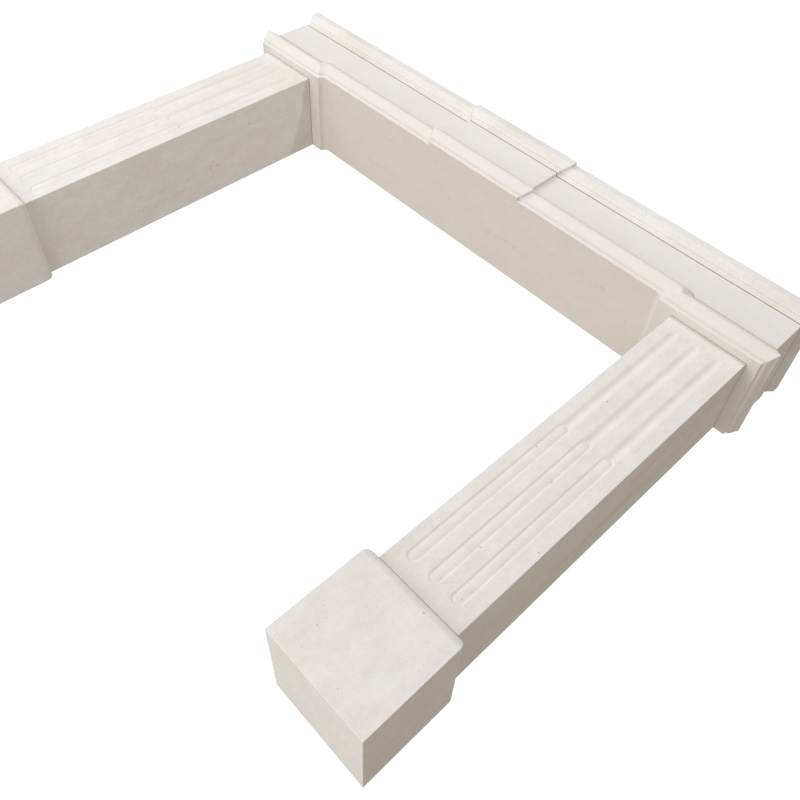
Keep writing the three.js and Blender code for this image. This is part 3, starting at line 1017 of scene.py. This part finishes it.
def shelf():
    end = shelf_high.x - SHELF_OVERHANG
    plan = front_plan(-end, end, FRIEZE_Y, shelf_low.z, breakfront(shelf_low.z))
    block = Block(plan, shelf_profile(), shelf_low.z)
    block.close_flat()
    finished("shelf_slab", block.mesh, SHELF_STONE, "mantel_shelf")


shelf()

# %% [markdown]
# Each shaft has three shallow flutes, and the lower part of each is filled by a rounded reed with a
# narrow groove all round it. This is the piece whose shape follows a rule, so a tree works out how
# deep the stone is cut at every point. The hollow is a soft wave across the flute. The reed and its
# groove only depend on how far a point is from the line down the middle of the reed, which rounds
# both of its ends off by itself.

# %% The tree that cuts the flutes
FLUTE_COLUMNS = 64


def flute_tree():
    numbers = ["Half width", "Foot", "Head", "Run out", "Run out power", "Hollow depth"]
    numbers += ["Hollow start", "Groove reach", "Groove depth", "Groove end depth", "Reed foot"]
    numbers += ["Reed head", "Reed sink", "Lip", "First x", "Pitch", "Face y"]
    inputs = {label: "number" for label in numbers}
    inputs.update({"Flutes": "count", "Rail": "object", "Stone": "stone"})
    tree = GeometryTree("cut the flutes", inputs)
    rail = tree.shape("Rail")
    grid, row, column = tree.grid(tree.count(rail), FLUTE_COLUMNS)
    angle = column * (math.pi / (FLUTE_COLUMNS - 1))
    z = tree.part(tree.sample(rail, tree.node("GeometryNodeInputPosition"), row), "Z")

    half_width = tree.value("Half width")
    below = tree.math("MAXIMUM", (tree.value("Foot") + half_width - z) / half_width, 0)
    foot_left = tree.math("MAXIMUM", 1 - below * below, 0)
    above = tree.math("MAXIMUM", (z - tree.value("Head")) / tree.value("Run out") + 1, 0)
    above = tree.math("MAXIMUM", 1 - above ** tree.value("Run out power"), 0)
    head_left = tree.math("SQRT", above)
    half_here = half_width * tree.math("SQRT", foot_left * head_left)
    across = tree.math("COSINE", angle)
    x = half_here * across

    started = tree.math("DIVIDE", z - tree.value("Hollow start"), half_width, clamp=True)
    wave = tree.math("COSINE", across * math.pi) * 0.5 + 0.5
    hollow = tree.value("Hollow depth") * head_left * started * wave

    past_head = tree.math("MAXIMUM", z - tree.value("Reed head"), 0)
    past = tree.math("MAXIMUM", tree.value("Reed foot") - z, past_head)
    away = tree.math("SQRT", x * x + past * past)
    reach = tree.value("Groove reach")
    at_end = tree.math("DIVIDE", past_head, reach, clamp=True)
    side_depth = tree.value("Groove depth")
    groove = side_depth + at_end * (tree.value("Groove end depth") - side_depth)
    wall = groove * tree.math("DIVIDE", half_width - away, half_width - reach, clamp=True)
    lip = tree.value("Lip")
    eased_wall = tree.math("SQRT", wall * wall + lip * lip) - lip
    sink = tree.value("Reed sink")
    reed = sink + (groove - sink) * (away / reach) ** 2
    depth = tree.math("MINIMUM", reed, tree.math("MAXIMUM", hollow, eased_wall))
    place = tree.vector(x, tree.value("Face y") + depth, z)
    sockets = {"Geometry": grid, "Position": place}
    flute = tree.node("GeometryNodeSetPosition", sockets=sockets)

    start = tree.vector(tree.value("First x"), 0, 0)
    pitch = tree.vector(tree.value("Pitch"), 0, 0)
    sockets = {"Count": tree.value("Flutes"), "Start Location": start, "Offset": pitch}
    axes = tree.node("GeometryNodeMeshLine", {"mode": "OFFSET"}, sockets)
    sockets = {"Points": axes, "Instance": flute}
    tree.finish_joined(tree.node("GeometryNodeInstanceOnPoints", sockets=sockets))
    return tree


FLUTING = flute_tree()
print("Flute tree:", len(FLUTING.tree.nodes), "nodes")

# %% [markdown]
# The rail is the row of heights at which a flute gets a section: close together at its two ends and
# round the top of the reed, where the shape changes, and only one long step between them.

# %% The sizes of the flutes
FLUTES = 3
FLUTE_PITCH = 48 * MM
FLUTE_SHIFT = 2.5 * MM  # how far they stand towards the opening
FLUTE_HALF = 12.9 * MM
FLUTE_FOOT = 230 * MM
FLUTE_HEAD = 948 * MM
FLUTE_RUN_OUT = 40 * MM
REED_TOP = 612 * MM
GROOVE_REACH = 9 * MM  # from the middle of the reed to the bottom of its groove
FLUTE_SIZES = {
    "flutes": FLUTES,
    "pitch": FLUTE_PITCH,
    "face_y": LEG_FRONT_Y,
    "half_width": FLUTE_HALF,
    "foot": FLUTE_FOOT,
    "head": FLUTE_HEAD,
    "run_out": FLUTE_RUN_OUT,
    "run_out_power": 2.2,  # 2 would end the flute in half an ellipse, more is squarer
    "hollow_depth": 3.1 * MM,
    "hollow_start": REED_TOP - 40 * MM,
    "groove_reach": GROOVE_REACH,
    "groove_depth": 1.6 * MM,
    "groove_end_depth": 3.0 * MM,
    "reed_foot": FLUTE_FOOT + FLUTE_HALF,
    "reed_head": REED_TOP - GROOVE_REACH,
    "reed_sink": 0.4 * MM,
    "lip": 0.15 * MM,
}
END_STEPS = 16
REED_END_FROM = REED_TOP - 12 * MM
REED_END_STEP = 0.75 * MM
REED_END_STEPS = 24


def flute_rail():
    centre = FLUTE_FOOT + FLUTE_HALF
    turns = [i / END_STEPS * math.pi / 2 for i in range(END_STEPS + 1)]
    foot = [centre - FLUTE_HALF * math.cos(a) for a in turns]
    reed_end = [REED_END_FROM + REED_END_STEP * i for i in range(REED_END_STEPS)]
    head = [FLUTE_HEAD - FLUTE_RUN_OUT * (1 - math.sin(a)) for a in turns]
    return foot + reed_end + head


print("Rail:", len(flute_rail()), "heights")

# %% [markdown]
# The shaft itself is a plain block. Its front face is taken out, the flutes are joined in, and the
# flat stone between them is filled from the open edges that are left.

# %% The shafts
MARGIN = (3 * MM, 12 * MM)  # where the plain stone beside the flutes holds pits, from its arris
MARGIN_TOP = 30 * MM
MARGIN_PITS = (900, 0.3 * MM, 0.9 * MM)
BED_PITS = (1500, 0.5 * MM, 2.2 * MM)
NEXT_SEED = 5


def shaft_sides(low, high, seed):
    """The front, with pits in its plain margins, and both sides, with pits along the beds."""
    top, foot = high.z - MARGIN_TOP, low.z + PIT_EDGE
    near, far = MARGIN
    margins = [(low.x + near, low.x + far), (high.x - far, high.x - near)]
    strips = [(Vector((x0, low.y, foot)), Vector((x1, low.y, top))) for x0, x1 in margins]
    sides = [FlatSide(FRONT, strips, seed, *MARGIN_PITS)]
    for x, way in ((low.x, LEFT), (high.x, RIGHT)):
        strips = [
            (Vector((x, bed - BED_HALF, start)), Vector((x, bed + BED_HALF, end)))
            for bed, start, end in LEG_BEDS
        ]
        sides.append(FlatSide(way, strips, seed + NEXT_SEED, *BED_PITS))
    return sides


def shaft(side_name, side, seed):
    low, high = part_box("shaft_" + side_name)
    height = high.z - low.z
    profile = eased([(-INSET, 0), (0, 0), (0, height), (-INSET, height)])
    plan = front_plan(low.x, high.x, low.y, low.z)
    block = Block(plan, profile, low.z)
    block.close_flat()
    sides = shaft_sides(low, high, seed)

    def cut_flutes(body):
        rail = in_scene("rail", line_mesh("rail", [(0, 0, z) for z in flute_rail()]))
        first_x = math.copysign(LEG_X - FLUTE_SHIFT, side) - FLUTE_PITCH * (FLUTES - 1) / 2
        values = {"rail": rail, "first_x": first_x, "stone": SHAFT_STONE, **FLUTE_SIZES}
        fluted = run_tree(FLUTING, body, **values)
        bpy.data.objects.remove(rail)
        return fluted

    mesh = with_pits(block.mesh, sides, SHAFT_STONE, cut_flutes)
    name = "fluted_shaft_" + side_name
    finished(name, mesh, SHAFT_STONE, "shaft_" + side_name)


shaft("left", -1, 12)
shaft("right", 1, 23)
bpy.data.objects.remove(PIT)

# %% [markdown]
# The floor is a plain pale plane that is seen from above only. The camera looks up from below it,
# so its underside is clear, and it lets the light through.

# %% The floor
FLOOR_SIZE = 8.0
FLOOR_GAP = 0.5 * MM
FLOOR_TONE = (0.8, 0.8, 0.79, 1)


def floor():
    material = bpy.data.materials.new("pale floor")
    maker = Nodes(cleared(material))
    paint = maker.node("ShaderNodeBsdfDiffuse", sockets={"Color": FLOOR_TONE})
    clear = maker.node("ShaderNodeBsdfTransparent")
    from_below = maker.node("ShaderNodeNewGeometry").out("Backfacing")
    both = maker.node("ShaderNodeMixShader", sockets={0: from_below, 1: paint, 2: clear})
    maker.node("ShaderNodeOutputMaterial", sockets={"Surface": both})
    half = FLOOR_SIZE / 2
    corners = [(-half, -half), (half, -half), (half, half), (-half, half)]
    data = bpy.data.meshes.new("floor")
    data.from_pydata([(x, y, -FLOOR_GAP) for x, y in corners], [], [(0, 1, 2, 3)])
    data.materials.append(material)
    plane = in_scene("floor", data)
    for ray in ("shadow", "diffuse", "glossy", "transmission"):
        setattr(plane, "visible_" + ray, False)


floor()
print("Floor", FLOOR_SIZE, "wide")

# %% [markdown]
# A small lamp in front and above throws the one crisp shadow, from the lintel onto the inner side of
# the left leg. Large panels low in front, on the left and below add soft light. The camera sees a
# white world, but what the world gives off is much dimmer and a little warm, so the sides of the
# stone that face away from the lights turn a warm grey.

# %% The lights
WARM_FILL = (1.0, 0.906, 0.795)
FILL_STRENGTH = 0.475
SEEN_STRENGTH = 1.05
MIDDLE = (0, 0, 0.6)


def white_surroundings():
    world = bpy.data.worlds.new("studio")
    bpy.context.scene.world = world
    maker = Nodes(cleared(world))
    seen = maker.node("ShaderNodeLightPath").out("Is Camera Ray")
    colours = {0: seen, 6: (*WARM_FILL, 1), 7: (1, 1, 1, 1)}
    colour = maker.node("ShaderNodeMix", {"data_type": "RGBA"}, colours, out=2)
    strength = FILL_STRENGTH + seen * (SEEN_STRENGTH - FILL_STRENGTH)
    background = maker.node("ShaderNodeBackground", sockets={"Color": colour, "Strength": strength})
    maker.node("ShaderNodeOutputWorld", sockets={"Surface": background})


def panel(name, place, target, size, watts, tint):
    data = bpy.data.lights.new(name, "AREA")
    data.shape = "SQUARE"
    data.size = size
    data.energy = watts
    data.color = tint
    aim(in_scene(name, data), place, target)
    print(f"{name}: {size} m wide, {watts} W")


bpy.context.scene.view_settings.view_transform = "Standard"
white_surroundings()
panel("key lamp", (0.7, -2.2, 1.88), (-0.5, 0, 0.7), 0.15, 18.5, (0.889, 0.923, 1))
panel("low front light", (-1.6, -3.2, -1.6), MIDDLE, 2.5, 38, (0.89, 0.925, 1))
panel("left light", (-3.0, -2.4, 0.6), MIDDLE, 1.2, 49, (0.915, 0.94, 1))
panel("light from below", (0.3, -1.2, -2.6), MIDDLE, 2.0, 47, (0.93, 0.96, 1))

# %% [markdown]
